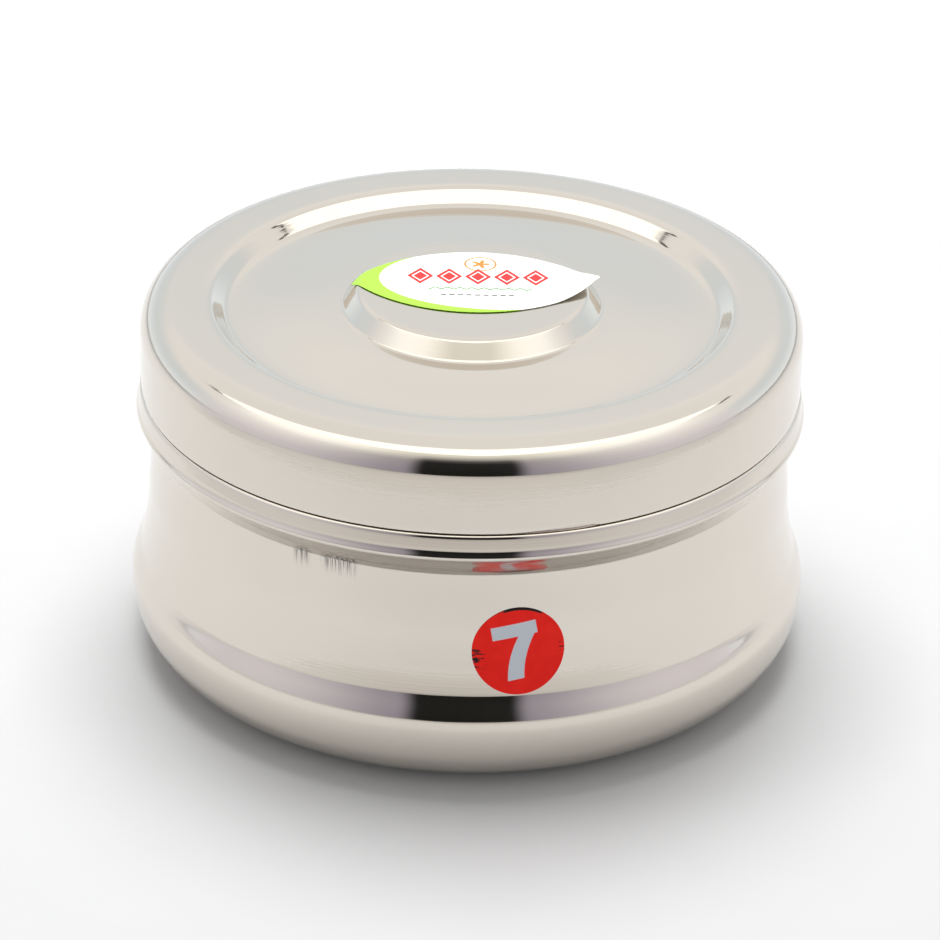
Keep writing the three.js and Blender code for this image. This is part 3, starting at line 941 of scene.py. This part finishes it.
ROOM_MIDDLE = (
    (-5, (0.20, 0.19, 0.23)), (6, (0.21, 0.20, 0.24)), (29, (0.25, 0.23, 0.26)),
    (35, (0.30, 0.29, 0.29)), (41, (0.40, 0.39, 0.38)), (50, (0.54, 0.53, 0.48)),
    (CARD_TOP, (0.58, 0.57, 0.52)),
)
ROOM_SIDES = (
    (-5, (0.46, 0.445, 0.49)), (6, (0.48, 0.465, 0.50)), (15, (0.53, 0.51, 0.545)),
    (25, (0.59, 0.575, 0.595)), (35, (0.68, 0.675, 0.68)), (42, (0.80, 0.80, 0.79)),
    (50, (0.90, 0.89, 0.86)),
)
DARK_GAP = (
    (-5, (0.008, 0.008, 0.007)), (29, (0.012, 0.012, 0.012)), (35, (0.065, 0.06, 0.06)),
    (41, (0.24, 0.235, 0.23)), (50, (0.54, 0.53, 0.48)), (CARD_TOP, (0.58, 0.57, 0.52)),
)
# Painted shade on the table in front of the box, which only the steel mirrors: darkest in the
# middle and towards the camera
TABLE_MIDDLE = (
    (FLOOR_CARD_START, (0.82, 0.80, 0.78)), (0.30, (0.71, 0.69, 0.67)),
    (0.38, (0.56, 0.54, 0.53)), (0.42, (0.32, 0.31, 0.31)),
)
TABLE_SIDES = (
    (FLOOR_CARD_START, (0.83, 0.82, 0.81)), (0.36, (0.80, 0.78, 0.79)),
    (WALL_DISTANCE, (0.67, 0.65, 0.70)),
)
SKY_STOPS = (
    (0.0, (0.88, 0.95, 1.0)), (0.25, (0.72, 0.79, 0.85)), (0.40, (0.76, 0.80, 0.83)),
    (0.47, (0.85, 0.865, 0.88)), (0.53, (0.90, 0.90, 0.90)), (0.8, (0.88, 0.87, 0.86)),
)
# The sky is what the steel mirrors; matt surfaces get a smaller share of it, so the shade under
# the belly stays tight, as under one large lamp.
SKY_IN_STEEL, SKY_ON_MATT = 1.14, 0.7
LAMP_SIZE, LAMP_POWER, LAMP_PLACE = 0.9, 23, (-0.05, 0.4, 1.3)
FLOOR_REACH = 6.0
CAMERA_ELEVATION = math.radians(28.06)
CAMERA_ROLL = math.radians(-1.14)
CAMERA_DISTANCE = 1.226
SENSOR_WIDTH, FOCAL_LENGTH = 36, 177.8
AIM = Vector((0.00026, 0, BOX_MIDDLE))


def reflected_cards():
    """What the steel mirrors: a soft box, the room with a dark gap in it, and painted shade on the
    table towards the camera.
    """
    soft_box()
    swept_card("room_wall", WALL_SWEEP, (WALL_DISTANCE, WALL_FOOT),
               (WALL_DISTANCE, rise_to(CARD_TOP, WALL_DISTANCE)),
               glow("room_glow", wall_stops(WALL_DISTANCE, ROOM_MIDDLE),
                    wall_stops(WALL_DISTANCE, ROOM_SIDES), BRIGHT))
    swept_card("dark_gap", GAP_SWEEP, (GAP_DISTANCE, GAP_FOOT),
               (GAP_DISTANCE, rise_to(CARD_TOP, GAP_DISTANCE)),
               glow("gap_glow", wall_stops(GAP_DISTANCE, DARK_GAP),
                    wall_stops(GAP_DISTANCE, ROOM_MIDDLE), BRIGHT, turn=GAP_EDGE), 24)
    swept_card("table_shade", WALL_SWEEP, (FLOOR_CARD_START, TABLE_SHADE_HEIGHT),
               (WALL_DISTANCE, TABLE_SHADE_HEIGHT),
               glow("table_glow", TABLE_MIDDLE, TABLE_SIDES, 1.0, along="distance"))


def studio_sky():
    """Soft light from all round, which changes with height."""
    world = bpy.data.worlds.new("studio")
    bpy.context.scene.world = world
    world.use_nodes = True
    sky = world.node_tree
    backdrop = sky.nodes["Background"]
    direction = sky.nodes.new("ShaderNodeTexCoord")
    split = sky.nodes.new("ShaderNodeSeparateXYZ")
    ramp = sky.nodes.new("ShaderNodeValToRGB")
    sky.links.new(direction.outputs["Generated"], split.inputs[0])
    sky.links.new(split.outputs[2], ramp.inputs[0])
    sky.links.new(ramp.outputs[0], backdrop.inputs["Color"])
    set_stops(ramp, SKY_STOPS)
    rays = sky.nodes.new("ShaderNodeLightPath")
    share = sky.nodes.new("ShaderNodeMapRange")
    share.inputs["To Min"].default_value = SKY_IN_STEEL
    share.inputs["To Max"].default_value = SKY_ON_MATT
    sky.links.new(rays.outputs["Is Diffuse Ray"], share.inputs["Value"])
    sky.links.new(share.outputs[0], backdrop.inputs["Strength"])


def overhead_lamp():
    """One large lamp, which the steel doesn't mirror."""
    lamp = bpy.data.lights.new("overhead", "AREA")
    lamp.size = LAMP_SIZE
    lamp.energy = LAMP_POWER
    hung = bpy.data.objects.new("overhead", lamp)
    hung.location = LAMP_PLACE
    hung.visible_camera = False
    hung.visible_glossy = False
    bpy.context.scene.collection.objects.link(hung)


def pale_table():
    """A large plain floor."""
    graph = Graph("pale_table")
    where, _, _, _ = graph.place()
    grain = graph.noise(where, 40.0, detail=4.0)
    speckled = graph.mix(grain, (0.59, 0.59, 0.593, 1), (0.61, 0.61, 0.613, 1))
    graph.set(Base_Color=speckled, Roughness=0.55)
    corners = [(sx * FLOOR_REACH, sy * FLOOR_REACH, 0) for sx, sy in
               ((-1, -1), (1, -1), (1, 1), (-1, 1))]
    floor = new_object("floor", corners, [(0, 1, 2, 3)], graph.material)


def studio_camera():
    """Looks down at the box from the front, rolled a little."""
    back = Vector((0, -math.cos(CAMERA_ELEVATION), math.sin(CAMERA_ELEVATION)))
    up = Vector((0, math.sin(CAMERA_ELEVATION), math.cos(CAMERA_ELEVATION)))
    side = Vector((1, 0, 0))
    right = side * math.cos(CAMERA_ROLL) - up * math.sin(CAMERA_ROLL)
    above = side * math.sin(CAMERA_ROLL) + up * math.cos(CAMERA_ROLL)
    lens = bpy.data.cameras.new("camera")
    lens.sensor_width = SENSOR_WIDTH
    lens.lens = FOCAL_LENGTH
    camera = bpy.data.objects.new("camera", lens)
    bpy.context.scene.collection.objects.link(camera)
    turned = Matrix((right, above, back)).transposed().to_4x4()
    camera.matrix_world = Matrix.Translation(AIM + back * CAMERA_DISTANCE) @ turned
    bpy.context.scene.camera = camera
    bpy.context.scene.view_settings.view_transform = "Standard"


reflected_cards()
studio_sky()
overhead_lamp()
pale_table()
studio_camera()
